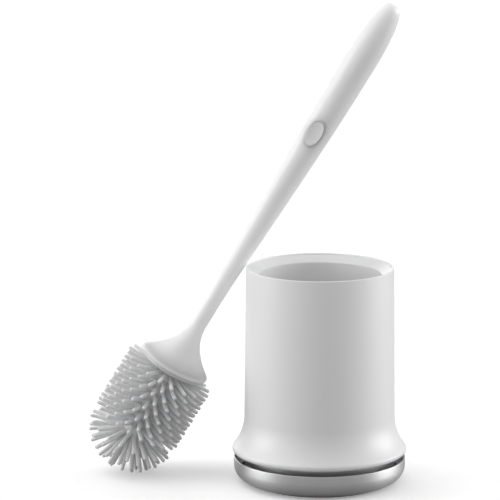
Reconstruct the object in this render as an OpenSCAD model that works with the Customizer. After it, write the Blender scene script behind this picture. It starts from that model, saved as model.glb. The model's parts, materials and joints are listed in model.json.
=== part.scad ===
// Toilet brush and holder: a steel dish, a flared two-wall cup that lifts off it, and a long
// brush that leans on the cup's rim. Millimetres, +Z up, origin on the cup's axis at floor level.

/* [Cup] */
// Outside radius of the cup at its rim
cup_r = 50; // [46:0.5:60]
// Height of the rim above the floor
cup_top = 148; // [117:1:190]
// How much wider the wall is where the flare begins
cup_draft = 1.1; // [0.4:0.1:2]
// Height where the flare begins
flare_top = 46; // [44:1:56]
// Radius of the flare's hollow curve
flare_r = 34; // [30:1:50]
// Radius of the rounded nose at the foot of the flare
nose_r = 2.6; // [1.8:0.1:3]
// Height of the lowest edge of the cup's lip
lip_z = 20.4; // [19:0.1:22]
// Wall of the outer shell
shell_wall = 2.5; // [2:0.1:3.2]
// Width of the lip that the shell keeps at its rim
rim_w = 1.2; // [1:0.1:1.5]
// Width of the funnel between the rim and the mouth
funnel_w = 8.5; // [8:0.1:11]
// How far the funnel drops from the rim to the mouth
funnel_drop = 5; // [3:0.5:8]
// Wall of the inner liner
liner_wall = 1.8; // [1.4:0.1:2.2]
// How much narrower the liner is at its foot
liner_draft = 2.6; // [1:0.1:3.5]

/* [Base] */
// How far the dish stands inside the cup's nose
dish_inset = 0.9; // [0:0.1:3]
// Height of the dish's rim
dish_top = 17.2; // [15:0.1:18]
// Radius of the dish's rounded lower edge
dish_round = 11; // [8:0.5:12]
// Wall of the steel dish
dish_wall = 0.9; // [0.6:0.1:1.2]
// Thickness of the non-slip pad
pad_t = 1; // [0.8:0.1:2]
// Thickness of the ballast plate
ballast_t = 4; // [2:0.5:5]
// How far the neck band stands inside the cup's wall
neck_inset = 0.4; // [0.3:0.1:2]
// Height of the neck band's top edge
neck_top = 28; // [25:0.5:29]
// Thickness of the neck band
band_t = 0.8; // [0.6:0.1:1.2]
// Thickness of the drip tray's floor and collar
tray_wall = 1.6; // [1.4:0.1:2]

/* [Brush] */
// Lean of the brush from upright, in degrees
lean = 31; // [24:0.5:36]
// Length from the middle of the domed end to the tip of the handle
handle_end = 343.3; // [280:0.1:420]
// Radius of the head over the tips of the bristles
head_r = 32; // [28:0.5:36]
// Height along the brush of the collar's lower face
collar_z = 53; // [44:0.5:64]
// Radius of the collar
collar_r = 25; // [20:0.5:28]
// Length over which the collar narrows to the neck
trumpet_len = 31; // [24:0.5:40]
// Radius of the handle at its neck
neck_handle_r = 5.8; // [5:0.1:8]
// Radius of the grip at its thickest
grip_r = 11.25; // [9:0.05:14]
// Length of the rounded end of the grip
grip_end = 42.3; // [30:0.5:60]
// Length of the oval thumb pad
thumb_len = 18.2; // [14:0.2:24]
// Width of the oval thumb pad
thumb_w = 10.3; // [8:0.1:12]
// Depth of the hollow in the thumb pad
thumb_depth = 1.6; // [1:0.1:2.2]
// Radius of the steel rod inside the handle
rod_r = 3; // [2:0.1:3.4]
// Radius of the locking stud
stud_r = 4; // [3.3:0.1:4.8]
// Radius of the head's plastic core
core_r = 8; // [7.4:0.1:9.6]
// Thickness of the rubber sleeve round the core
sleeve_t = 3; // [2:0.1:4]
// Thickness of one row of bristles
bristle_t = 1.9; // [1.4:0.1:2.4]
// Distance between rows of bristles
row_pitch = 5.3; // [4.8:0.1:7]

/* [Clearances] */
// Gap between pieces that lift or turn apart
move_gap = 0.3; // [0.2:0.05:0.5]
// Gap round pieces that are pushed together
push_gap = 0.05; // [0.02:0.01:0.1]
// Radial clearance of the locking stud in its socket
run_gap = 0.06; // [0.03:0.01:0.1]

/* [Hidden] */
$fn = 96;
eps = 0.02;

// Screws, three of each, evenly spaced
screw_n = 3;
screw_r = 1.25;
screw_head_r = 2.3;
screw_head_t = 0.9;
boss_r = 2.9;

// The shell's flare is an arc about flare_cx, with a nose that is tangent to it
wall_r = cup_r + cup_draft;
flare_cx = wall_r + flare_r;
nose_z = lip_z + nose_r;
nose_drop = flare_top - nose_z;
nose_x = flare_cx - sqrt(pow(flare_r + nose_r, 2) - nose_drop * nose_drop);
neck_r = wall_r - neck_inset;
dish_r = nose_x + nose_r - dish_inset;
nose_angle = asin(nose_drop / (flare_r + nose_r));
lip_in_x = nose_x - nose_r;
inner_flare_r = flare_r + shell_wall;
lip_angle = acos((flare_cx - lip_in_x) / inner_flare_r);

// Levels in the base, from the floor up
dish_z = pad_t;
ballast_z = dish_z + dish_wall;
tray_z = ballast_z + ballast_t;
tray_floor = tray_z + tray_wall;
flat_r = dish_r - dish_round;
pad_r = flat_r - 0.8;
tray_screw_at = pad_r - 4.4;
ballast_r = tray_screw_at - boss_r - 0.6;
collar_out_r = neck_r - band_t - push_gap;
collar_in_r = collar_out_r - tray_wall;
inner_round = dish_round - dish_wall;
tray_rise = dish_z + dish_round - tray_z;
tray_r = flat_r + sqrt(inner_round * inner_round - tray_rise * tray_rise) - move_gap;

// The liner hangs on a ledge inside the shell's rim
rim_round = 0.5;
mouth_r = cup_r - funnel_w;
rim_in_r = cup_r - rim_w;
ledge_z = cup_top - 3.6;
shell_in_r = cup_r - shell_wall;
flange_r = rim_in_r - push_gap;
flange_z = cup_top - 0.8;
mouth_z = cup_top - funnel_drop;
mouth_round = 0.8;
shelf_z = neck_top - 4;
shelf_t = 2;
shelf_w = 6;
foot_in_r = mouth_r - liner_draft;
liner_foot_r = foot_in_r + liner_wall;

// The locating ring closes the space between the two walls and drops into the tray's collar
ring_z = neck_top + move_gap;
ring_t = 2.6;
ring_in_r = liner_foot_r + 0.5;
ring_top = ring_z + ring_t;
flare_in_r = flare_cx - sqrt(pow(inner_flare_r, 2) - pow(max(0, flare_top - ring_top), 2));
ring_out_r = min(neck_r + 0.3, flare_in_r - 0.2);
spigot_r = collar_in_r - move_gap;
spigot_wall = 1.6;
spigot_z = tray_floor + 6;
cup_screw_at = ring_in_r + boss_r + 0.6;
boss_top = ring_top + 15;
cup_screw_len = 12;

// The grate rests on the liner's shelf
grate_z = shelf_z + move_gap;
grate_t = 2.5;
grate_r = foot_in_r - 0.6;
finger_r = 9;
slot_n = 12;
slot_w = 3.6;
slot_from = 14;
slot_to = grate_r - 4.5;

// The brush is drawn upright about its own axis, from the middle of its dome
// The collar's hollow curve starts tangent to its rounded lip, lip_turn degrees up that rounding
lip_round = 1.25;
lip_turn = 52;
trumpet_r = collar_r - lip_round;
lip_r = trumpet_r + lip_round * cos(lip_turn);
trumpet_z = collar_z + lip_round * (1 + sin(lip_turn));
trumpet_top = trumpet_z + trumpet_len;
trumpet_power = tan(lip_turn) * trumpet_len / (lip_r - neck_handle_r);
grip_z = trumpet_top + 20;
grip_top = handle_end - grip_end;
grip_power = 1.35;
end_power = 0.3;
bush_r = stud_r + 3;
hub_r = bush_r + 2;
bush_t = 1.8;
plate_t = 1.8;
plate_z = collar_z - plate_t;
plate_r = trumpet_r + 0.2;
plate_rim_t = 1.6;
plate_rim_h = 1.5;
cavity_wall = 2.2;
cavity_top = trumpet_z + 10;
bush_top = plate_z + 12.2;
bush_floor = bush_top - bush_t;
rod_z = bush_top + 3;
rod_end = grip_top - 6;
thumb_z = trumpet_top + 0.73 * (grip_top - trumpet_top);
thumb_t = 1.4;
scoop_r = (pow(thumb_len / 2, 2) + pow(thumb_depth, 2)) / (2 * thumb_depth);

// Quarter-turn lock between the handle and the head
lug_w = 2.6;
lug_r = stud_r + 1.4;
lug_t = 2.4;
lug_gap = 0.2;
lug_z = bush_floor - 3.7;
stud_top = bush_floor - 0.3;
core_top = plate_z - 0.5;
flange_t = 2;
sleeve_top = core_top - flange_t;
sleeve_r = core_r + sleeve_t;
core_flange_r = sleeve_r + 1;
stud_step = core_top - 3.7;
stud_foot = 12;
stud_foot_r = stud_r - 1;
seal_r = 0.95;
seal_at = stud_r + seal_r + 0.3;
seal_z = core_top + 0.2 - seal_r;
groove_r = seal_at + seal_r + 0.3;
lock_screw_r = 1.5;
lock_head_r = 2.8;
lock_head_t = 1.6;
lock_head_z = -core_r + 1;
lock_screw_top = stud_foot + 12;

// Rows of bristles up the side, and cones of bristles round the dome
root_r = sleeve_r - 1;
tip_r = sqrt(head_r * head_r - bristle_t * bristle_t / 4);
row_z = row_pitch * 0.65;
row_n = floor((sleeve_top - row_z - bristle_t) / row_pitch) + 1;
dome_step = 15;

// Radius of the collar's hollow outside curve at height z
function trumpet_at(z) = let (t = max(0, min(1, (trumpet_top - z) / trumpet_len)))
  neck_handle_r + (lip_r - neck_handle_r) * pow(t, trumpet_power);

// Radius of the grip at height z, from the neck to the thickest place
function grip_at(z) = let (u = max(0, min(1, (z - grip_z) / (grip_top - grip_z))))
  neck_handle_r + (grip_r - neck_handle_r) * pow(sin(90 * u), grip_power);

// Least thickness of the pad lies between the pocket's floor and the bottom of its hollow
thumb_face = grip_at(thumb_z) - thumb_depth;
thumb_floor = thumb_face - thumb_t;

// Radius of the rounded end of the grip, where t runs from 0 to 1
function end_at(t) = grip_r * pow(1 - t * t, end_power);

// Radius of the hollow under the collar at height z
function cavity_at(z) = max(hub_r + 0.4, min(trumpet_r - 1.6, trumpet_at(z + cavity_wall) - 0.8));

// Rim on the collar plate that stands up inside that hollow
plate_rim_r = cavity_at(collar_z + plate_rim_h) - move_gap;

// Points of an arc about [cx, cy] from angle a to angle b, in n steps
function arc(cx, cy, r, a, b, n) =
  [for (i = [0 : n]) let (t = a + (b - a) * i / n) [cx + r * cos(t), cy + r * sin(t)]];

// Where the brush stands: its dome on the floor, its handle against the rim
lean_gap = move_gap + 0.1;
function lean_reach(r) = (cup_top + sin(lean) * (r + lean_gap) - head_r) / cos(lean);
touch_s = lean_reach(grip_at(lean_reach(neck_handle_r)));
touch_r = grip_at(touch_s);
head_x = -cup_r - cos(lean) * (touch_r + lean_gap) - touch_s * sin(lean);

module on_brush() {
  translate([head_x, 0, head_r]) rotate([0, lean, 0]) children();
}

module ring(r_out, r_in, z, t) {
  translate([0, 0, z]) difference() {
    cylinder(h = t, r = r_out);
    translate([0, 0, -1]) cylinder(h = t + 2, r = r_in);
  }
}

// Places its children at each of n evenly spaced screws, r from the axis
module around(n, r, turn = 0) {
  for (i = [0 : n - 1]) rotate([0, 0, turn + i * 360 / n]) translate([r, 0, 0]) children();
}

// Pan-head screw that points up: its head hangs below z
module screw_up(z, shank_r, len, head_r, head_t) {
  translate([0, 0, z - head_t]) cylinder(h = head_t, r = head_r);
  translate([0, 0, z - eps]) cylinder(h = len + eps, r = shank_r);
}

module hex_socket(z, across, depth) {
  translate([0, 0, z - 0.1]) cylinder(h = depth + 0.1, r = across / sqrt(3), $fn = 6);
}

// ---- base ----

module foot_pad() {
  color("dimgray") difference() {
    cylinder(h = pad_t, r = pad_r);
    around(screw_n, tray_screw_at) translate([0, 0, -1]) cylinder(h = pad_t + 2, r = screw_head_r + 0.4);
  }
}

module base_dish() {
  round_z = dish_z + dish_round;
  edge = dish_wall / 2;
  color("silver") difference() {
    rotate_extrude() polygon(concat(
      [[0, dish_z]],
      arc(flat_r, round_z, dish_round, -90, 0, 12),
      arc(dish_r - edge, dish_top - edge, edge, 0, 180, 8),
      arc(flat_r, round_z, inner_round, 0, -90, 12),
      [[0, dish_z + dish_wall]]
    ));
    around(screw_n, tray_screw_at) cylinder(h = 2 * tray_z, r = screw_r + 0.15);
  }
}

module ballast_plate() {
  color("slategray") ring(ballast_r, 6, ballast_z, ballast_t);
}

module drip_tray() {
  color("gray") difference() {
    union() {
      translate([0, 0, tray_z]) cylinder(h = tray_wall, r = tray_r);
      ring(collar_out_r, collar_in_r, tray_floor - eps, neck_top - tray_floor + eps);
      around(screw_n, tray_screw_at) translate([0, 0, ballast_z])
        cylinder(h = ballast_t + tray_wall / 2, r = boss_r);
    }
    around(screw_n, tray_screw_at) translate([0, 0, ballast_z - 1])
      cylinder(h = ballast_t + tray_wall / 2 + 1, r = screw_r + push_gap);
  }
}

module neck_band() {
  color("silver") ring(neck_r, neck_r - band_t, tray_floor, neck_top - tray_floor);
}

module tray_screws() {
  color("lightsteelblue") around(screw_n, tray_screw_at) difference() {
    screw_up(dish_z, screw_r, dish_wall + ballast_t, screw_head_r, screw_head_t);
    hex_socket(dish_z - screw_head_t, 1.6, 0.6);
  }
}

// ---- cup ----

module shell_form() {
  rotate_extrude() polygon(concat(
    arc(cup_r - rim_round, cup_top - rim_round, rim_round, 90, 0, 4),
    arc(flare_cx, flare_top, flare_r, 180, 180 + nose_angle, 14),
    arc(nose_x, nose_z, nose_r, nose_angle, -90, 10),
    [[lip_in_x, lip_z]],
    arc(flare_cx, flare_top, inner_flare_r, 180 + lip_angle, 180, 14),
    [[shell_in_r, ledge_z], [rim_in_r, ledge_z]],
    arc(rim_in_r + rim_round, cup_top - rim_round, rim_round, 180, 90, 4)
  ));
}

// Screw bosses inside the shell, each on a web that is sunk into half the wall
module shell_bosses() {
  web_t = 2.2;
  around(screw_n, cup_screw_at) translate([0, 0, ring_top]) cylinder(h = boss_top - ring_top, r = boss_r);
  intersection() {
    around(screw_n, cup_screw_at) translate([0, -web_t / 2, ring_top])
      cube([flare_r, web_t, boss_top - ring_top]);
    rotate_extrude() polygon(concat(
      [[0, lip_z], [lip_in_x, lip_z]],
      arc(flare_cx, flare_top, flare_r + shell_wall / 2, 180 + lip_angle, 180, 14),
      [[wall_r - shell_wall / 2, boss_top + 1], [0, boss_top + 1]]
    ));
  }
}

module cup_shell() {
  color("white") difference() {
    union() {
      shell_form();
      shell_bosses();
    }
    around(screw_n, cup_screw_at) translate([0, 0, ring_z])
      cylinder(h = cup_screw_len + 1, r = screw_r + push_gap);
  }
}

module cup_liner() {
  turn = atan2(flange_z - mouth_z, flange_r - mouth_r);
  drop = mouth_z - mouth_round;
  color("whitesmoke") rotate_extrude() polygon(concat(
    [[flange_r, ledge_z], [flange_r, flange_z - 0.3], [flange_r - 0.3, flange_z]],
    arc(mouth_r + mouth_round, drop, mouth_round, 90 + turn, 180, 5),
    [
      [foot_in_r, shelf_z],
      [foot_in_r - shelf_w, shelf_z],
      [foot_in_r - shelf_w, shelf_z - shelf_t],
      [liner_foot_r, shelf_z - shelf_t],
      [mouth_r + liner_wall, mouth_z - 2 * liner_wall],
      [shell_in_r, ledge_z]
    ]
  ));
}

module locating_ring() {
  color("lightgray") difference() {
    union() {
      ring(ring_out_r, ring_in_r, ring_z, ring_t);
      ring(spigot_r, spigot_r - spigot_wall, spigot_z, ring_z - spigot_z + eps);
    }
    around(screw_n, cup_screw_at) {
      translate([0, 0, ring_z - 1]) cylinder(h = ring_t + 2, r = screw_r + 0.15);
      translate([0, 0, spigot_z - 1]) cylinder(h = ring_z - spigot_z + 1, r = screw_head_r + 0.5);
    }
  }
}

module cup_screws() {
  color("lightsteelblue") around(screw_n, cup_screw_at) difference() {
    screw_up(ring_z, screw_r, cup_screw_len, screw_head_r, 1.6);
    hex_socket(ring_z - 1.6, 2, 1);
  }
}

module drain_grate() {
  color("lightgray") translate([0, 0, grate_z]) difference() {
    cylinder(h = grate_t, r = grate_r);
    translate([0, 0, -1]) cylinder(h = grate_t + 2, r = finger_r);
    for (i = [0 : slot_n - 1]) rotate([0, 0, i * 360 / slot_n]) translate([0, 0, -1]) {
      translate([slot_from, -slot_w / 2, 0]) cube([slot_to - slot_from, slot_w, grate_t + 2]);
      translate([slot_to, 0, 0]) cylinder(h = grate_t + 2, r = slot_w / 2);
    }
  }
}

// ---- brush ----

module handle_form() {
  trumpet_n = 16;
  grip_n = 26;
  end_n = 16;
  rotate_extrude() polygon(concat(
    [[0, collar_z]],
    arc(trumpet_r, collar_z + lip_round, lip_round, -90, lip_turn, 8),
    [for (i = [1 : trumpet_n]) let (z = trumpet_z + trumpet_len * i / trumpet_n) [trumpet_at(z), z]],
    [for (i = [0 : grip_n]) let (z = grip_z + (grip_top - grip_z) * i / grip_n) [grip_at(z), z]],
    [for (i = [1 : end_n]) let (t = sin(90 * i / end_n)) [end_at(t), grip_top + grip_end * t]]
  ));
}

// Oval prism that stands out from the front of the grip
module thumb_oval(len, w, from, to) {
  translate([0, 0, thumb_z]) rotate([90, 0, 0]) translate([0, 0, from]) linear_extrude(to - from)
    polygon([for (i = [0 : 47]) let (a = i * 7.5) [w / 2 * cos(a), len / 2 * sin(a)]]);
}

module handle() {
  cavity_n = 12;
  color("white") on_brush() difference() {
    handle_form();
    rotate_extrude() polygon(concat(
      [[hub_r, collar_z - 1], [cavity_at(collar_z), collar_z - 1]],
      [for (i = [0 : cavity_n]) let (z = collar_z + (cavity_top - collar_z) * i / cavity_n)
        [cavity_at(z), z]],
      [[hub_r, cavity_top]]
    ));
    translate([0, 0, collar_z - 1]) cylinder(h = bush_top - collar_z + 1, r = bush_r + push_gap);
    translate([0, 0, rod_z]) cylinder(h = rod_end - rod_z, r = rod_r + push_gap);
    thumb_oval(thumb_len, thumb_w, thumb_floor, 2 * grip_r);
  }
}

module handle_rod() {
  color("silver") on_brush() translate([0, 0, rod_z + push_gap])
    cylinder(h = rod_end - rod_z - 2 * push_gap, r = rod_r);
}

module thumb_pad() {
  color("white") on_brush() difference() {
    intersection() {
      thumb_oval(thumb_len - 2 * push_gap, thumb_w - 2 * push_gap, thumb_floor, 2 * grip_r);
      handle_form();
    }
    translate([0, -thumb_face - scoop_r, thumb_z]) sphere(r = scoop_r, $fn = 400);
  }
}

module collar_plate() {
  rim_z = collar_z - eps;
  color("whitesmoke") on_brush() difference() {
    union() {
      rotate_extrude() polygon([
        [0, plate_z], [plate_r - 0.5, plate_z], [plate_r, plate_z + 0.5], [plate_r, collar_z], [0, collar_z]
      ]);
      ring(plate_rim_r, plate_rim_r - plate_rim_t, rim_z, plate_rim_h + eps);
    }
    translate([0, 0, plate_z - 1]) cylinder(h = plate_t + 2, r = bush_r + push_gap);
  }
}

module socket_bush() {
  slot_len = 2 * (lug_r + lug_gap);
  slot_wide = lug_w + 4 * lug_gap;
  color("goldenrod") on_brush() difference() {
    translate([0, 0, plate_z]) cylinder(h = bush_top - plate_z, r = bush_r);
    translate([0, 0, plate_z - 1]) cylinder(h = bush_floor - plate_z + 1, r = stud_r + run_gap);
    translate([0, 0, lug_z - lug_gap]) cylinder(h = lug_t + 2 * lug_gap, r = lug_r + lug_gap);
    intersection() {
      translate([-slot_len / 2, -slot_wide / 2, plate_z - 1])
        cube([slot_len, slot_wide, lug_z - plate_z + 2]);
      translate([0, 0, plate_z - 1]) cylinder(h = lug_z - plate_z + 2, r = lug_r + lug_gap);
    }
  }
}

// ---- head ----

module head_core() {
  color("whitesmoke") on_brush() difference() {
    union() {
      sphere(r = core_r);
      cylinder(h = core_top, r = core_r);
      translate([0, 0, sleeve_top]) cylinder(h = flange_t, r = core_flange_r);
    }
    translate([0, 0, stud_foot]) cylinder(h = core_top, r = stud_foot_r + push_gap);
    translate([0, 0, stud_step]) cylinder(h = core_top, r = stud_r + push_gap);
    translate([0, 0, seal_z - seal_r]) cylinder(h = core_top, r = groove_r);
    translate([0, 0, -core_r - 1]) cylinder(h = stud_foot + core_r + 2, r = lock_screw_r + 0.15);
    translate([0, 0, -core_r - 1]) cylinder(h = lock_head_z + lock_head_t + core_r + 1, r = lock_head_r + 0.2);
  }
}

module locking_stud() {
  color("silver") on_brush() difference() {
    union() {
      translate([0, 0, stud_foot]) cylinder(h = stud_step - stud_foot + eps, r = stud_foot_r);
      translate([0, 0, stud_step]) cylinder(h = stud_top - stud_step, r = stud_r);
      intersection() {
        translate([-lug_w / 2, -lug_r - 1, lug_z]) cube([lug_w, 2 * lug_r + 2, lug_t]);
        translate([0, 0, lug_z]) cylinder(h = lug_t, r = lug_r);
      }
    }
    translate([0, 0, stud_foot - 1])
      cylinder(h = lock_screw_top - stud_foot + 2, r = lock_screw_r + push_gap);
  }
}

module stud_screw() {
  under_head = lock_head_z + lock_head_t;
  color("lightsteelblue") on_brush() difference() {
    screw_up(under_head, lock_screw_r, lock_screw_top - under_head, lock_head_r, lock_head_t);
    hex_socket(lock_head_z, 2.5, 1);
  }
}

module seal_ring() {
  color("dimgray") on_brush() translate([0, 0, seal_z]) rotate_extrude()
    translate([seal_at, 0]) circle(r = seal_r, $fn = 32);
}

// One cone of bristles, at an angle from the end of the head
module dome_row(angle) {
  along = [sin(angle), -cos(angle)];
  across = [cos(angle), sin(angle)] * bristle_t / 2;
  rotate_extrude() polygon([
    along * root_r - across, along * tip_r - across, along * tip_r + across, along * root_r + across
  ]);
}

module bristle_sleeve() {
  bore_r = core_r + push_gap;
  color("gainsboro") on_brush() difference() {
    union() {
      sphere(r = sleeve_r);
      cylinder(h = sleeve_top, r = sleeve_r);
      for (k = [0 : row_n - 1]) translate([0, 0, row_z + k * row_pitch - bristle_t / 2])
        cylinder(h = bristle_t, r = tip_r);
      for (a = [dome_step : dome_step : 90 - dome_step]) dome_row(a);
      translate([0, 0, -tip_r]) cylinder(h = tip_r - root_r, r = bristle_t / 2);
    }
    sphere(r = bore_r);
    cylinder(h = sleeve_top + 1, r = bore_r);
  }
}

foot_pad();
base_dish();
ballast_plate();
drip_tray();
neck_band();
tray_screws();
cup_shell();
cup_liner();
locating_ring();
cup_screws();
drain_grate();
handle();
handle_rod();
thumb_pad();
collar_plate();
socket_bush();
head_core();
locking_stud();
stud_screw();
seal_ring();
bristle_sleeve();
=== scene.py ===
"""Looks of the toilet brush and its holder: a white cup on a steel dish, and a rubber brush."""
import json
import math
import bmesh
import bpy
from mathutils import Matrix, Vector


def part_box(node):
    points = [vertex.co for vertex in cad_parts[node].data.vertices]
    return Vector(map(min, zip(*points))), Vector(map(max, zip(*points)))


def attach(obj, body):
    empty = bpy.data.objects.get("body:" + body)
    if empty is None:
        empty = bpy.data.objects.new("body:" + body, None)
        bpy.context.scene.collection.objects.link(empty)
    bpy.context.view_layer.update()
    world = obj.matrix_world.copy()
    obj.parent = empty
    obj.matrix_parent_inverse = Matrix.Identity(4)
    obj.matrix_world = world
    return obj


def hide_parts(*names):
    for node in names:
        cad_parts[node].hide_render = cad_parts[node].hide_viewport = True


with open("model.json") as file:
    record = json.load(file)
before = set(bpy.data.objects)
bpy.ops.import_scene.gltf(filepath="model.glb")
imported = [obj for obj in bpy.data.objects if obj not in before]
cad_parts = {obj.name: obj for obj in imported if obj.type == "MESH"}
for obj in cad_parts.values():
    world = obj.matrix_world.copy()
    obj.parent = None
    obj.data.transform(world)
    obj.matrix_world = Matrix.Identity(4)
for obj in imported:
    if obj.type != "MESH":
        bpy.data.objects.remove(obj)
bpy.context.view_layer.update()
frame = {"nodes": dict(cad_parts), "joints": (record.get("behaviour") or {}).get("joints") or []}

MM = 0.001
ROUND_STEPS = 192


# ---------------------------------------------------------------- sizes taken from the frame

def low(node):
    """Lowest corner of a node's box, in millimetres."""
    return [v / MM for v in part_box(node)[0]]


def high(node):
    """Highest corner of a node's box, in millimetres."""
    return [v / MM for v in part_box(node)[1]]


TWIST = next(joint for joint in frame["joints"] if joint["name"] == "head_twist")
LEAN = math.atan2(TWIST["axis"][0], TWIST["axis"][2])
ON_BRUSH = Matrix.Translation(TWIST["pos_m"]) @ Matrix.Rotation(LEAN, 4, "Y")
UPRIGHT = Matrix.Identity(4)

CUP_TOP = high("cup_shell")[2]
NOSE_REACH = high("cup_shell")[0]
LIP_Z = low("cup_shell")[2]
CUP_R = 50.0
WALL_R = CUP_R + 1.1
FLARE_TOP = 46.0
FLARE_R = 34.0
NOSE_R = 2.6
SHELL_WALL = 2.5
RIM_W = 1.2
LEDGE_Z = CUP_TOP - 3.6

LINER_TOP = high("cup_liner")[2]
FLANGE_R = high("cup_liner")[0]
LINER_LOW = low("cup_liner")[2]
MOUTH_R = CUP_R - 8.5
MOUTH_Z = CUP_TOP - 5
LINER_WALL = 1.8
FOOT_IN_R = MOUTH_R - 2.6
SHELF_W = 6.0
SHELF_T = 2.0

DISH_R = high("base_dish")[0]
DISH_LOW = low("base_dish")[2]
DISH_TOP = high("base_dish")[2]
DISH_ROUND = 11.0
DISH_WALL = 0.9

BAND_R = high("neck_band")[0]
BAND_LOW = low("neck_band")[2]
BAND_TOP = high("neck_band")[2]
BAND_T = 0.8

COLLAR_Z = 53.0
COLLAR_R = 25.0
LIP_ROUND = 1.25
LIP_TURN = math.radians(52)
LIP_R = COLLAR_R - LIP_ROUND + LIP_ROUND * math.cos(LIP_TURN)
NECK_R = 5.8
TRUMPET_Z = COLLAR_Z + LIP_ROUND * (1 + math.sin(LIP_TURN))
TRUMPET_LEN = 31.0
TRUMPET_TOP = TRUMPET_Z + TRUMPET_LEN
TRUMPET_POWER = math.tan(LIP_TURN) * TRUMPET_LEN / (LIP_R - NECK_R)
UNDER_RIM = 2.7
UNDER_STEP = 2.5
UNDER_RISE = 10.0
PLATE_T = 1.8
PLATE_HOLE_R = 7.05
GRIP_R = 11.25
HANDLE_END = 343.3
GRIP_END = 42.3
GRIP_Z = TRUMPET_TOP + 20
GRIP_TOP = HANDLE_END - GRIP_END
GRIP_POWER = 1.35
END_POWER = 0.3
THUMB_Z = TRUMPET_TOP + 0.73 * (GRIP_TOP - TRUMPET_TOP)
THUMB_LEN = 18.2
THUMB_W = 10.3
THUMB_DEPTH = 1.6
THUMB_T = 1.4
PAD_SNUG = 0.01

HEAD_R = 32.0
SLEEVE_R = 11.0
SLEEVE_TOP = 48.7
ROW_PITCH = 5.3
ROW_Z = ROW_PITCH * 0.65
ROWS = 9
PER_ROW = 20
BRISTLE_R = 1.28
BRISTLE_WOBBLE = 0.012
DOME_ROWS = 5
DOME_STEP = math.radians(15)
SLEEVE_IN_R = 8.05


# ---------------------------------------------------------------- outlines and turned pieces

def arc(cx, cz, radius, start, end, steps):
    """Points of an arc about (cx, cz), with its angles in degrees."""
    turns = [math.radians(start + (end - start) * i / steps) for i in range(steps + 1)]
    return [(cx + radius * math.cos(t), cz + radius * math.sin(t)) for t in turns]


def rounded(corners, steps=6):
    """Outline through corners (r, z, radius), each with a radius replaced by a fillet."""
    points = []
    count = len(corners)
    for i, (r, z, radius) in enumerate(corners):
        here = Vector((r, z))
        if radius <= 0:
            points.append((r, z))
            continue
        back = (Vector(corners[i - 1][:2]) - here)
        ahead = (Vector(corners[(i + 1) % count][:2]) - here)
        reach = min(back.length, ahead.length) * 0.49
        half = back.angle(ahead) / 2
        radius = min(radius, reach * math.tan(half))
        cut = radius / math.tan(half)
        start = here + back.normalized() * cut
        end = here + ahead.normalized() * cut
        centre = here + (back.normalized() + ahead.normalized()).normalized() * radius / math.sin(half)
        first = math.atan2(start.y - centre.y, start.x - centre.x)
        sweep = math.atan2(end.y - centre.y, end.x - centre.x) - first
        sweep = (sweep + math.pi) % (2 * math.pi) - math.pi
        for k in range(steps + 1):
            t = first + sweep * k / steps
            points.append((centre.x + radius * math.cos(t), centre.y + radius * math.sin(t)))
    return points


def spread(start, end, steps):
    """Evenly spaced numbers from start to end, both included."""
    return [start + (end - start) * i / steps for i in range(steps + 1)]


def plain_mesh(bm, name):
    """A mesh in millimetres from a bmesh, merged and facing outwards."""
    bmesh.ops.remove_doubles(bm, verts=bm.verts, dist=1e-4)
    bmesh.ops.recalc_face_normals(bm, faces=bm.faces)
    mesh = bpy.data.meshes.new(name)
    bm.to_mesh(mesh)
    bm.free()
    return mesh


def placed(mesh, name, place, sharp=30):
    """Puts a mesh, drawn in millimetres, in its place as a smooth-shaded object."""
    mesh.name = name
    mesh.transform(place @ Matrix.Scale(MM, 4))
    mesh.polygons.foreach_set("use_smooth", [True] * len(mesh.polygons))
    mesh.set_sharp_from_angle(angle=math.radians(sharp))
    piece = bpy.data.objects.new(name, mesh)
    bpy.context.scene.collection.objects.link(piece)
    return piece


def carved(body, tool, operation):
    """One solid cut by another, or kept inside it. Both meshes are in millimetres."""
    holders = [bpy.data.objects.new(mesh.name, mesh) for mesh in (body, tool)]
    for holder in holders:
        bpy.context.scene.collection.objects.link(holder)
    cut = holders[0].modifiers.new("cut", "BOOLEAN")
    cut.operation = operation
    cut.solver = "EXACT"
    cut.object = holders[1]
    bpy.context.view_layer.update()
    seen = holders[0].evaluated_get(bpy.context.evaluated_depsgraph_get())
    result = bpy.data.meshes.new_from_object(seen)
    for holder in holders:
        bpy.data.objects.remove(holder)
    return result


def add_turned(bm, outline, steps=ROUND_STEPS):
    """Adds a closed (r, z) outline turned about Z. A point on the axis becomes a pole."""
    rings = []
    for r, z in outline:
        if r < 1e-6:
            rings.append([bm.verts.new((0, 0, z))])
            continue
        turns = [2 * math.pi * i / steps for i in range(steps)]
        rings.append([bm.verts.new((r * math.cos(t), r * math.sin(t), z)) for t in turns])
    for a, b in zip(rings, rings[1:] + rings[:1]):
        if len(a) == 1 and len(b) == 1:
            continue
        for i in range(steps):
            j = (i + 1) % steps
            corners = [a[i % len(a)], a[j % len(a)], b[j % len(b)], b[i % len(b)]]
            bm.faces.new(list(dict.fromkeys(corners)))


def turned(name, outline, place=UPRIGHT, steps=ROUND_STEPS, sharp=30):
    """A round piece from its outline."""
    bm = bmesh.new()
    add_turned(bm, outline, steps)
    return placed(plain_mesh(bm, name), name, place, sharp)


# ---------------------------------------------------------------- shader groups

def new_tree(name, kind="ShaderNodeTree"):
    """An empty node group."""
    return bpy.data.node_groups.new(name, kind)


def socket(tree, name, direction, kind, value=None):
    """Adds a named input or output to a node group."""
    made = tree.interface.new_socket(name=name, in_out=direction, socket_type=kind)
    if value is not None:
        made.default_value = value
    return made


def add(tree, kind, **values):
    """Adds a node with its properties set by name, and its inputs by what 'inputs' says."""
    made = tree.nodes.new(kind)
    inputs = values.pop("inputs", {})
    for key, value in values.items():
        setattr(made, key, value)
    for key, value in inputs.items():
        made.inputs[key].default_value = value
    return made


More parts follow.
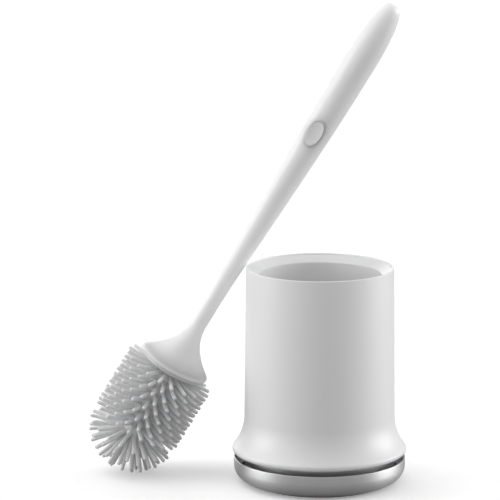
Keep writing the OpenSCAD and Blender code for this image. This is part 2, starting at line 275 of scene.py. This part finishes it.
def feed(tree, target, value):
    """Sets an input to a number, or links it to another node's output."""
    if isinstance(value, (int, float)):
        target.default_value = value
    else:
        tree.links.new(value, target)


def maths(tree, operation, a, b=None, c=None, clamp=False):
    """A Math node whose inputs are outputs of other nodes or numbers. Returns its output."""
    made = tree.nodes.new("ShaderNodeMath")
    made.operation = operation
    made.use_clamp = clamp
    for target, value in zip(made.inputs, (a, b, c)):
        if value is not None:
            feed(tree, target, value)
    return made.outputs[0]


def make_moulding_group():
    """Fine unevenness of moulded plastic: a height for bump, and a slow drift of roughness."""
    tree = new_tree("moulding")
    socket(tree, "Vector", "INPUT", "NodeSocketVector")
    socket(tree, "Grain Scale", "INPUT", "NodeSocketFloat", 900.0)
    socket(tree, "Roughness", "INPUT", "NodeSocketFloat", 0.4)
    socket(tree, "Drift", "INPUT", "NodeSocketFloat", 0.05)
    socket(tree, "Height", "OUTPUT", "NodeSocketFloat")
    socket(tree, "Roughness", "OUTPUT", "NodeSocketFloat")
    source = add(tree, "NodeGroupInput")
    result = add(tree, "NodeGroupOutput")
    grain = add(tree, "ShaderNodeTexNoise", inputs={"Detail": 3.0, "Roughness": 0.6})
    slow = add(tree, "ShaderNodeTexNoise", inputs={"Scale": 28.0, "Detail": 2.0})
    tree.links.new(source.outputs["Vector"], grain.inputs["Vector"])
    tree.links.new(source.outputs["Grain Scale"], grain.inputs["Scale"])
    tree.links.new(source.outputs["Vector"], slow.inputs["Vector"])
    centred = maths(tree, "SUBTRACT", slow.outputs["Fac"], 0.5)
    drift = maths(tree, "MULTIPLY_ADD", centred, source.outputs["Drift"], source.outputs["Roughness"])
    tree.links.new(grain.outputs["Fac"], result.inputs["Height"])
    tree.links.new(drift, result.inputs["Roughness"])
    return tree


def make_brushing_group():
    """Long fine streaks that run round a turned steel piece, as a mask, a height and a roughness."""
    tree = new_tree("brushing")
    socket(tree, "Vector", "INPUT", "NodeSocketVector")
    socket(tree, "Streak Scale", "INPUT", "NodeSocketFloat", 40.0)
    socket(tree, "Stretch", "INPUT", "NodeSocketFloat", 45.0)
    socket(tree, "Roughness", "INPUT", "NodeSocketFloat", 0.32)
    socket(tree, "Spread", "INPUT", "NodeSocketFloat", 0.12)
    socket(tree, "Streaks", "OUTPUT", "NodeSocketFloat")
    socket(tree, "Roughness", "OUTPUT", "NodeSocketFloat")
    source = add(tree, "NodeGroupInput")
    result = add(tree, "NodeGroupOutput")
    parts = add(tree, "ShaderNodeSeparateXYZ")
    joined = add(tree, "ShaderNodeCombineXYZ")
    tree.links.new(source.outputs["Vector"], parts.inputs[0])
    tree.links.new(parts.outputs["X"], joined.inputs["X"])
    tree.links.new(parts.outputs["Y"], joined.inputs["Y"])
    drawn = maths(tree, "MULTIPLY", parts.outputs["Z"], source.outputs["Stretch"])
    tree.links.new(drawn, joined.inputs["Z"])
    fine = add(tree, "ShaderNodeTexNoise", inputs={"Detail": 6.0, "Roughness": 0.7})
    tree.links.new(joined.outputs[0], fine.inputs["Vector"])
    tree.links.new(source.outputs["Streak Scale"], fine.inputs["Scale"])
    centred = maths(tree, "SUBTRACT", fine.outputs["Fac"], 0.5)
    rough = maths(tree, "MULTIPLY_ADD", centred, source.outputs["Spread"], source.outputs["Roughness"])
    tree.links.new(fine.outputs["Fac"], result.inputs["Streaks"])
    tree.links.new(rough, result.inputs["Roughness"])
    return tree


MOULDING = make_moulding_group()
BRUSHING = make_brushing_group()


def new_material(name):
    """A material that reads Object coordinates. Returns it, its tree, its shader and them."""
    material = bpy.data.materials.new(name)
    material.use_nodes = True
    tree = material.node_tree
    shader = tree.nodes["Principled BSDF"]
    coordinates = add(tree, "ShaderNodeTexCoord")
    return material, tree, shader, coordinates.outputs["Object"]


def bump(tree, shader, height, strength, distance):
    """Raises a shader's surface by a height that changes over it."""
    made = add(tree, "ShaderNodeBump", inputs={"Strength": strength, "Distance": distance})
    tree.links.new(height, made.inputs["Height"])
    tree.links.new(made.outputs["Normal"], shader.inputs["Normal"])


def tint(tree, shader, mask, dark, light):
    """Base colour that moves between two colours with a mask."""
    mix = add(tree, "ShaderNodeMix", data_type="RGBA")
    mix.inputs["A"].default_value = (*dark, 1)
    mix.inputs["B"].default_value = (*light, 1)
    tree.links.new(mask, mix.inputs["Factor"])
    tree.links.new(mix.outputs["Result"], shader.inputs["Base Color"])


def moulded(name, colour, roughness, drift=0.06, grain=900.0, depth=0.02, specular=0.5,
            spread=0.012, milky=0.0):
    """Moulded plastic: nearly one colour, with a soft skin and a faint drift of gloss.

    Milky plastic lets light in as far as that many metres.
    """
    material, tree, shader, where = new_material(name)
    skin = add(tree, "ShaderNodeGroup", node_tree=MOULDING)
    skin.inputs["Grain Scale"].default_value = grain
    skin.inputs["Roughness"].default_value = roughness
    skin.inputs["Drift"].default_value = drift
    tree.links.new(where, skin.inputs["Vector"])
    tree.links.new(skin.outputs["Roughness"], shader.inputs["Roughness"])
    shader.inputs["Specular IOR Level"].default_value = specular
    cloud = add(tree, "ShaderNodeTexNoise", inputs={"Scale": 9.0, "Detail": 2.0})
    tree.links.new(where, cloud.inputs["Vector"])
    tint(tree, shader, cloud.outputs["Fac"], [c - spread for c in colour], [c + spread for c in colour])
    bump(tree, shader, skin.outputs["Height"], depth, 0.0002)
    if milky > 0:
        shader.inputs["Subsurface Weight"].default_value = 1.0
        shader.inputs["Subsurface Radius"].default_value = (1.0, 1.0, 1.0)
        shader.inputs["Subsurface Scale"].default_value = milky
    return material


def brushed(name, dark, light, roughness, spread=0.14, streak=40.0, stretch=45.0,
            depth=0.12, along=0.0):
    """Steel with fine streaks running round it, which draw its reflections out across them."""
    material, tree, shader, where = new_material(name)
    lines = add(tree, "ShaderNodeGroup", node_tree=BRUSHING)
    lines.inputs["Streak Scale"].default_value = streak
    lines.inputs["Stretch"].default_value = stretch
    lines.inputs["Roughness"].default_value = roughness
    lines.inputs["Spread"].default_value = spread
    tree.links.new(where, lines.inputs["Vector"])
    tree.links.new(lines.outputs["Roughness"], shader.inputs["Roughness"])
    shader.inputs["Metallic"].default_value = 1.0
    if along > 0:
        way = add(tree, "ShaderNodeTangent", direction_type="RADIAL", axis="Z")
        tree.links.new(way.outputs[0], shader.inputs["Tangent"])
        shader.inputs["Anisotropic"].default_value = along
        shader.inputs["Anisotropic Rotation"].default_value = 0.25
    tint(tree, shader, lines.outputs["Streaks"], dark, light)
    bump(tree, shader, lines.outputs["Streaks"], depth, 0.0001)
    return material


SHELL_WHITE = moulded("shell_plastic", (0.87, 0.87, 0.875), 0.44, specular=0.75)
LINER_WHITE = moulded("liner_plastic", (0.79, 0.79, 0.795), 0.42, specular=0.5)
HANDLE_WHITE = moulded("handle_plastic", (0.97, 0.97, 0.972), 0.38, specular=0.5, milky=0.008)
THUMB_WHITE = moulded("thumb_plastic", (0.95, 0.95, 0.955), 0.5, grain=2600.0, depth=0.2)
INNER_WHITE = moulded("inner_plastic", (0.72, 0.72, 0.73), 0.5)
# the drip tray's near-black colour is painted shade: it stands in for the shade in the gap between the
# cup and the dish
TRAY_SHADE_GREY = moulded("tray_painted_shade_plastic", (0.07, 0.07, 0.075), 0.45)
PAD_BLACK = moulded("pad_rubber", (0.03, 0.03, 0.032), 0.85, grain=1800.0, depth=0.8)
SEAL_BLACK = moulded("seal_rubber", (0.03, 0.03, 0.032), 0.5)
BALLAST_IRON = moulded("ballast_iron", (0.06, 0.06, 0.065), 0.6, grain=1200.0, depth=0.8)
BRISTLE_GREY = moulded("bristle_rubber", (0.86, 0.86, 0.865), 0.48, depth=0.05, spread=0.02)
DISH_STEEL = brushed("dish_steel", (0.6, 0.6, 0.605), (0.72, 0.72, 0.725), 0.5, along=0.6)
BAND_STEEL = brushed("band_steel", (0.74, 0.74, 0.75), (0.84, 0.84, 0.85), 0.3, depth=0.05)
ROD_STEEL = brushed("rod_steel", (0.5, 0.5, 0.52), (0.6, 0.6, 0.62), 0.3)
SCREW_STEEL = brushed("screw_steel", (0.6, 0.6, 0.62), (0.7, 0.7, 0.72), 0.22, depth=0.03)
BUSH_BRASS = brushed("bush_brass", (0.66, 0.47, 0.2), (0.76, 0.57, 0.28), 0.28)


def dress(piece, material, body, slot, *nodes):
    """Gives a piece its material and body, and hides the CAD nodes it stands for."""
    piece.data.materials.clear()
    piece.data.materials.append(material)
    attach(piece, body)
    if nodes:
        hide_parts(*nodes)


# ---------------------------------------------------------------- base

def make_dish():
    """Pressed steel dish with a rounded lower edge and a small rolled rim."""
    flat_r = DISH_R - DISH_ROUND
    round_z = DISH_LOW + DISH_ROUND
    rim = DISH_WALL / 2
    outline = [(0, DISH_LOW)]
    outline += arc(flat_r, round_z, DISH_ROUND, -90, 0, 20)
    outline += arc(DISH_R - rim, DISH_TOP - rim, rim, 0, 180, 10)
    outline += arc(flat_r, round_z, DISH_ROUND - DISH_WALL, 0, -90, 20)
    outline += [(0, DISH_LOW + DISH_WALL)]
    return turned("dish", outline)


def make_band():
    """Bright steel band round the collar that carries the cup."""
    outline = rounded([
        (BAND_R, BAND_LOW, 0.1), (BAND_R, BAND_TOP, 0.3),
        (BAND_R - BAND_T, BAND_TOP, 0.3), (BAND_R - BAND_T, BAND_LOW, 0.1)
    ])
    return turned("band", outline)


dress(make_dish(), DISH_STEEL, "base", "dish_steel", "base_dish")
dress(make_band(), BAND_STEEL, "base", "band_steel", "neck_band")


# ---------------------------------------------------------------- cup

def make_shell():
    """Outer wall of the cup: a slight taper, a hollow flare and a rounded nose."""
    flare_cx = WALL_R + FLARE_R
    nose_z = LIP_Z + NOSE_R
    nose_x = NOSE_REACH - NOSE_R
    nose_turn = math.degrees(math.atan2(FLARE_TOP - nose_z, flare_cx - nose_x))
    inner_r = FLARE_R + SHELL_WALL
    lip_in = nose_x - NOSE_R
    lip_turn = math.degrees(math.acos((flare_cx - lip_in) / inner_r))
    rim = RIM_W / 2
    outline = arc(CUP_R - rim, CUP_TOP - rim, rim, 180, 0, 12)
    outline += arc(flare_cx, FLARE_TOP, FLARE_R, 180, 180 + nose_turn, 28)
    outline += arc(nose_x, nose_z, NOSE_R, nose_turn, -90, 14)
    outline.append((lip_in, LIP_Z))
    outline += arc(flare_cx, FLARE_TOP, inner_r, 180 + lip_turn, 180, 20)
    outline += [(CUP_R - SHELL_WALL, LEDGE_Z), (CUP_R - RIM_W, LEDGE_Z)]
    return turned("shell", outline)


def make_liner():
    """Inner wall of the cup: a sloping funnel rim, the mouth, and a shelf for the grate."""
    foot_out = FOOT_IN_R + LINER_WALL
    outline = rounded([
        (FLANGE_R, LEDGE_Z, 0), (FLANGE_R, LINER_TOP, 0.35), (MOUTH_R, MOUTH_Z, 1.2),
        (FOOT_IN_R, LINER_LOW + SHELF_T, 0.6), (FOOT_IN_R - SHELF_W, LINER_LOW + SHELF_T, 0.5),
        (FOOT_IN_R - SHELF_W, LINER_LOW, 0.5), (foot_out, LINER_LOW, 0.8),
        (MOUTH_R + LINER_WALL, MOUTH_Z - 2 * LINER_WALL, 1.0), (CUP_R - SHELL_WALL, LEDGE_Z, 0)
    ])
    return turned("liner", outline)


dress(make_shell(), SHELL_WHITE, "cup", "shell_white", "cup_shell")
dress(make_liner(), LINER_WHITE, "cup", "liner_white", "cup_liner")


# ---------------------------------------------------------------- handle

def trumpet_at(z):
    """Outside radius of the collar's hollow curve at height z on the brush."""
    t = min(1.0, max(0.0, (TRUMPET_TOP - z) / TRUMPET_LEN))
    return NECK_R + (LIP_R - NECK_R) * t ** TRUMPET_POWER


def grip_at(z):
    """Outside radius of the grip at height z on the brush."""
    u = min(1.0, max(0.0, (z - GRIP_Z) / (GRIP_TOP - GRIP_Z)))
    return NECK_R + (GRIP_R - NECK_R) * math.sin(math.pi / 2 * u) ** GRIP_POWER


THUMB_FACE = grip_at(THUMB_Z) - THUMB_DEPTH


def handle_solid():
    """Collar, neck and grip in one solid, in millimetres and upright."""
    under_r = COLLAR_R - UNDER_RIM
    lip_turn = math.degrees(LIP_TURN)
    outline = [(under_r, COLLAR_Z)]
    outline += arc(COLLAR_R - LIP_ROUND, COLLAR_Z + LIP_ROUND, LIP_ROUND, -90, lip_turn, 20)
    outline += [(trumpet_at(z), z) for z in spread(TRUMPET_Z, TRUMPET_TOP, 40)[1:]]
    outline += [(grip_at(z), z) for z in spread(GRIP_Z, GRIP_TOP, 70)]
    for t in spread(0, math.pi / 2, 44)[1:-1]:
        end_r = GRIP_R * (1 - math.sin(t) ** 2) ** END_POWER
        outline.append((end_r, GRIP_TOP + GRIP_END * math.sin(t)))
    outline += [(0, HANDLE_END), (0, COLLAR_Z + UNDER_RISE), (under_r, COLLAR_Z + UNDER_STEP)]
    bm = bmesh.new()
    add_turned(bm, outline, 144)
    return plain_mesh(bm, "handle_solid")


def thumb_oval(gap, inner, outer):
    """Oval prism through the front of the grip, from inner to outer off its axis, less a gap."""
    steps = 96
    half_w = THUMB_W / 2 - gap
    half_len = THUMB_LEN / 2 - gap
    turns = [2 * math.pi * k / steps for k in range(steps)]
    oval = [(half_w * math.cos(t), THUMB_Z + half_len * math.sin(t)) for t in turns]
    bm = bmesh.new()
    ends = []
    for reach in (inner, outer):
        ends.append([bm.verts.new((x, -reach, z)) for x, z in oval])
    for k in range(steps):
        j = (k + 1) % steps
        bm.faces.new([ends[0][k], ends[0][j], ends[1][j], ends[1][k]])
    for end in ends:
        bm.faces.new(end)
    return plain_mesh(bm, "thumb_oval")


def make_handle():
    """The handle, with the pocket for the thumb pad cut in its front."""
    pocket = thumb_oval(0, THUMB_FACE - THUMB_T, 2 * GRIP_R)
    return placed(carved(handle_solid(), pocket, "DIFFERENCE"), "grip", ON_BRUSH, sharp=14)


def make_thumb_pad():
    """Oval pad that follows the grip, with a round hollow for the thumb."""
    scoop_r = ((THUMB_LEN / 2) ** 2 + THUMB_DEPTH ** 2) / (2 * THUMB_DEPTH)
    scoop = bmesh.new()
    middle = Matrix.Translation((0, -THUMB_FACE - scoop_r, THUMB_Z))
    bmesh.ops.create_uvsphere(scoop, u_segments=192, v_segments=192, radius=scoop_r, matrix=middle)
    oval = thumb_oval(-PAD_SNUG, THUMB_FACE - THUMB_T + 2 * PAD_SNUG, 2 * GRIP_R)
    pad = carved(handle_solid(), oval, "INTERSECT")
    hollow = carved(pad, plain_mesh(scoop, "scoop"), "DIFFERENCE")
    return placed(hollow, "thumb_inlay", ON_BRUSH, sharp=14)


def make_collar_plate():
    """Plate that closes the collar from below."""
    plate_r = COLLAR_R - LIP_ROUND + 0.2
    plate_z = COLLAR_Z - PLATE_T
    outline = rounded([
        (PLATE_HOLE_R, plate_z, 0.2), (plate_r, plate_z, 0.6),
        (plate_r, COLLAR_Z, 0.25), (PLATE_HOLE_R, COLLAR_Z, 0.2)
    ])
    return turned("plate", outline, ON_BRUSH)


dress(make_handle(), HANDLE_WHITE, "brush", "handle_white", "handle")
dress(make_thumb_pad(), THUMB_WHITE, "brush", "thumb_white", "thumb_pad")
dress(make_collar_plate(), HANDLE_WHITE, "brush", "handle_white", "collar_plate")


# ---------------------------------------------------------------- bristles, by geometry nodes

def make_bristle_tree():
    """Rings of bristles up the side of the sleeve, and rings fanned round its dome."""
    tree = new_tree("bristle_rings", "GeometryNodeTree")
    sizes = [
        ("Root Radius", SLEEVE_R), ("Tip Radius", HEAD_R), ("Bristle Radius", BRISTLE_R),
        ("Root Swell", 0.25), ("Tip Round", 0.65),
        ("Row Pitch", ROW_PITCH), ("First Row", ROW_Z), ("Dome Step", DOME_STEP)
    ]
    counts = [("Rows", ROWS), ("Per Row", PER_ROW), ("Seed", 7)]
    socket(tree, "Geometry", "INPUT", "NodeSocketGeometry")
    for name, value in sizes:
        socket(tree, name, "INPUT", "NodeSocketFloat", value)
    for name, value in counts:
        socket(tree, name, "INPUT", "NodeSocketInt", value)
    socket(tree, "Material", "INPUT", "NodeSocketMaterial")
    socket(tree, "Geometry", "OUTPUT", "NodeSocketGeometry")
    source = add(tree, "NodeGroupInput").outputs
    result = add(tree, "NodeGroupOutput")
    link = tree.links.new

    def vector(x=0.0, y=0.0, z=0.0):
        made = add(tree, "ShaderNodeCombineXYZ")
        for target, value in zip(made.inputs, (x, y, z)):
            feed(tree, target, value)
        return made.outputs[0]

    # one bristle along X, from inside the sleeve to its blunt tip, with its rings closer there
    rings = 7
    tip_flat = 0.92
    sunk = maths(tree, "SUBTRACT", source["Root Radius"], 1.0)
    length = maths(tree, "SUBTRACT", source["Tip Radius"], sunk)
    line = add(tree, "GeometryNodeCurvePrimitiveLine")
    link(vector(x=1.0), line.inputs["End"])
    fine = add(tree, "GeometryNodeResampleCurve", mode="COUNT")
    fine.inputs["Count"].default_value = rings
    link(line.outputs[0], fine.inputs["Curve"])
    number = add(tree, "GeometryNodeInputIndex").outputs[0]
    share = maths(tree, "DIVIDE", number, rings - 1.0)
    left = maths(tree, "POWER", maths(tree, "SUBTRACT", 1.0, share), 3.0)
    to_tip = maths(tree, "MULTIPLY", left, length)
    place = add(tree, "GeometryNodeSetPosition")
    link(fine.outputs[0], place.inputs["Geometry"])
    link(vector(x=maths(tree, "SUBTRACT", source["Tip Radius"], to_tip)), place.inputs["Position"])
    taper = maths(tree, "MULTIPLY_ADD", left, source["Root Swell"], 1.0)
    from_tip = maths(tree, "DIVIDE", to_tip, source["Tip Round"])
    into_tip = maths(tree, "SUBTRACT", tip_flat, from_tip, clamp=True)
    blunt = maths(tree, "SQRT", maths(tree, "SUBTRACT", 1.0, maths(tree, "POWER", into_tip, 2.0)))
    width = maths(tree, "MULTIPLY", maths(tree, "MULTIPLY", taper, blunt), source["Bristle Radius"])
    circle = add(tree, "GeometryNodeCurvePrimitiveCircle", mode="RADIUS")
    circle.inputs["Resolution"].default_value = 8
    circle.inputs["Radius"].default_value = 1.0
    skin = add(tree, "GeometryNodeCurveToMesh")
    skin.inputs["Fill Caps"].default_value = True
    link(place.outputs[0], skin.inputs["Curve"])
    link(circle.outputs[0], skin.inputs["Profile Curve"])
    link(width, skin.inputs["Scale"])
    bristle = skin.outputs[0]

    def jitter(offset):
        """A small random turn, different for each bristle and each offset."""
        made = add(tree, "FunctionNodeRandomValue", data_type="FLOAT")
        made.inputs[2].default_value = -BRISTLE_WOBBLE
        made.inputs[3].default_value = BRISTLE_WOBBLE
        link(maths(tree, "ADD", source["Seed"], offset), made.inputs["Seed"])
        return made.outputs[1]

    def ring(count, height, tilt, phase):
        """A ring of bristles at one height, tilted towards the end of the dome."""
        points = add(tree, "GeometryNodePoints")
        feed(tree, points.inputs["Count"], count)
        index = add(tree, "GeometryNodeInputIndex").outputs[0]
        turn = maths(tree, "MULTIPLY", maths(tree, "ADD", index, phase),
                     maths(tree, "DIVIDE", 2 * math.pi, count))
        put = add(tree, "GeometryNodeInstanceOnPoints")
        link(points.outputs[0], put.inputs["Points"])
        link(bristle, put.inputs["Instance"])
        rise = maths(tree, "ADD", tilt, jitter(1))
        swing = maths(tree, "ADD", turn, jitter(2))
        link(vector(y=rise, z=swing), put.inputs["Rotation"])
        moved = add(tree, "GeometryNodeTransform")
        link(put.outputs[0], moved.inputs["Geometry"])
        link(vector(z=height), moved.inputs["Translation"])
        return moved.outputs[0]

    # rings up the side: every ring's points are placed from one index
    per_row = source["Per Row"]
    total = maths(tree, "MULTIPLY", source["Rows"], per_row)
    points = add(tree, "GeometryNodePoints")
    link(total, points.inputs["Count"])
    index = add(tree, "GeometryNodeInputIndex").outputs[0]
    row = maths(tree, "FLOOR", maths(tree, "DIVIDE", maths(tree, "ADD", index, 0.5), per_row))
    height = maths(tree, "MULTIPLY_ADD", row, source["Row Pitch"], source["First Row"])
    link(vector(z=height), points.inputs["Position"])
    odd = maths(tree, "MODULO", row, 2.0)
    step = maths(tree, "DIVIDE", 2 * math.pi, per_row)
    turn = maths(tree, "MULTIPLY", maths(tree, "MULTIPLY_ADD", odd, 0.5, index), step)
    put = add(tree, "GeometryNodeInstanceOnPoints")
    link(points.outputs[0], put.inputs["Points"])
    link(bristle, put.inputs["Instance"])
    rise = jitter(3)
    swing = maths(tree, "ADD", turn, jitter(4))
    link(vector(y=rise, z=swing), put.inputs["Rotation"])
    join = add(tree, "GeometryNodeJoinGeometry")
    link(put.outputs[0], join.inputs[0])

    # rings round the dome: fewer bristles as the ring gets smaller, and one at its end
    for k in range(DOME_ROWS):
        tilt = maths(tree, "MULTIPLY", source["Dome Step"], k + 1)
        share = maths(tree, "COSINE", tilt)
        count = maths(tree, "ROUND", maths(tree, "MULTIPLY", share, per_row))
        link(ring(count, 0.0, tilt, 0.25 + 0.37 * k), join.inputs[0])
    link(ring(1, 0.0, math.pi / 2, 0.0), join.inputs[0])

    real = add(tree, "GeometryNodeRealizeInstances")
    paint = add(tree, "GeometryNodeSetMaterial")
    smooth = add(tree, "GeometryNodeSetShadeSmooth")
    link(join.outputs[0], real.inputs[0])
    link(real.outputs[0], smooth.inputs[0])
    link(smooth.outputs[0], paint.inputs["Geometry"])
    link(source["Material"], paint.inputs["Material"])
    link(paint.outputs[0], result.inputs[0])
    return tree


def grown(name, tree, values, place):
    """Runs a geometry tree on an empty mesh and keeps the result as a plain mesh in its place."""
    holder = bpy.data.objects.new(name + "_source", bpy.data.meshes.new(name + "_source"))
    bpy.context.scene.collection.objects.link(holder)
    modifier = holder.modifiers.new("grow", "NODES")
    modifier.node_group = tree
    for item in tree.interface.items_tree:
        if item.item_type == "SOCKET" and item.in_out == "INPUT" and item.name in values:
            modifier[item.identifier] = values[item.name]
    bpy.context.view_layer.update()
    seen = holder.evaluated_get(bpy.context.evaluated_depsgraph_get())
    mesh = bpy.data.meshes.new_from_object(seen)
    holder.modifiers.remove(modifier)
    bpy.data.objects.remove(holder)
    mesh.name = name
    mesh.transform(place @ Matrix.Scale(MM, 4))
    piece = bpy.data.objects.new(name, mesh)
    bpy.context.scene.collection.objects.link(piece)
    return piece


def make_sleeve():
    """Rubber sleeve that the bristles grow from, round over its end."""
    outline = arc(0, 0, SLEEVE_R, -90, 0, 24)
    bevel = 0.6
    outline += [(SLEEVE_R, SLEEVE_TOP - bevel), (SLEEVE_R - bevel, SLEEVE_TOP)]
    outline.append((SLEEVE_IN_R, SLEEVE_TOP))
    outline += arc(0, 0, SLEEVE_IN_R, 0, -90, 16)
    outline[0] = (0, -SLEEVE_R)
    outline[-1] = (0, -SLEEVE_IN_R)
    return turned("sleeve", outline, ON_BRUSH, steps=96)


bristles = grown("bristles", make_bristle_tree(), {"Material": BRISTLE_GREY, "Seed": 7}, ON_BRUSH)
dress(bristles, BRISTLE_GREY, "head", "bristle_rubber", "bristle_sleeve")
dress(make_sleeve(), BRISTLE_GREY, "head", "bristle_rubber")


# ---------------------------------------------------------------- CAD nodes that stay as they are

# the drip tray below takes the near-black painted shade of the gap under the cup
KEPT = {
    "foot_pad": PAD_BLACK, "ballast_plate": BALLAST_IRON, "drip_tray": TRAY_SHADE_GREY,
    "tray_screws": SCREW_STEEL, "locating_ring": INNER_WHITE, "cup_screws": SCREW_STEEL,
    "drain_grate": INNER_WHITE, "handle_rod": ROD_STEEL, "socket_bush": BUSH_BRASS,
    "head_core": INNER_WHITE, "locking_stud": ROD_STEEL, "stud_screw": SCREW_STEEL,
    "seal_ring": SEAL_BLACK
}
for node, material in KEPT.items():
    for holder in frame["nodes"][node].material_slots:
        holder.material = material


# ---------------------------------------------------------------- studio

def make_floor():
    """Plain pale floor, large enough to fill the view."""
    size = 14.0
    corners = [(-size, -size, 0), (size, -size, 0), (size, size, 0), (-size, size, 0)]
    mesh = bpy.data.meshes.new("floor")
    mesh.from_pydata(corners, [], [(0, 1, 2, 3)])
    floor = bpy.data.objects.new("floor", mesh)
    bpy.context.scene.collection.objects.link(floor)
    material, tree, shader, where = new_material("floor_paint")
    seen = add(tree, "ShaderNodeLightPath").outputs["Is Camera Ray"]
    tint(tree, shader, seen, (0.35, 0.35, 0.35), (0.95, 0.95, 0.95))
    lift = maths(tree, "MULTIPLY", seen, 0.2)
    tree.links.new(lift, shader.inputs["Emission Strength"])
    shader.inputs["Roughness"].default_value = 0.9
    shader.inputs["Specular IOR Level"].default_value = 0.1
    mesh.materials.append(material)


def soft_sun(name, azimuth, elevation, strength, spread):
    """Soft even light from one direction, with its apparent size in degrees."""
    light = bpy.data.lights.new(name, "SUN")
    light.energy = strength
    light.angle = math.radians(spread)
    lamp = bpy.data.objects.new(name, light)
    a = math.radians(azimuth)
    e = math.radians(elevation)
    back = Vector((math.sin(a) * math.cos(e), -math.cos(a) * math.cos(e), math.sin(e)))
    lamp.location = back
    lamp.rotation_euler = back.to_track_quat("Z", "Y").to_euler()
    bpy.context.scene.collection.objects.link(lamp)


def make_world(level):
    """Even white light from all round."""
    world = bpy.data.worlds.new("studio")
    world.use_nodes = True
    world.node_tree.nodes["Background"].inputs["Color"].default_value = (1, 1, 1, 1)
    world.node_tree.nodes["Background"].inputs["Strength"].default_value = level
    bpy.context.scene.world = world


def make_camera():
    """Long lens, a little above the floor and slightly to the right of the front."""
    azimuth = math.radians(10)
    elevation = math.radians(11)
    distance = 2.2
    frame_width = 0.338
    centre = Vector((-0.048, 0, 0.158))
    back = Vector((math.sin(azimuth) * math.cos(elevation), -math.cos(azimuth) * math.cos(elevation),
                   math.sin(elevation)))
    data = bpy.data.cameras.new("camera")
    data.sensor_width = 36
    data.lens = 36 * distance / frame_width
    data.clip_end = 100
    camera = bpy.data.objects.new("camera", data)
    camera.location = centre + back * distance
    camera.rotation_euler = back.to_track_quat("Z", "Y").to_euler()
    bpy.context.scene.collection.objects.link(camera)
    bpy.context.scene.camera = camera


make_floor()
make_world(0.56)
soft_sun("high", -90, 70, 0.6, 40)
soft_sun("left", -78, 6, 1.7, 40)
soft_sun("right", 111, 6, 2.3, 40)
soft_sun("behind", -150, 6, 0.9, 40)
make_camera()
bpy.context.scene.view_settings.view_transform = "Standard"
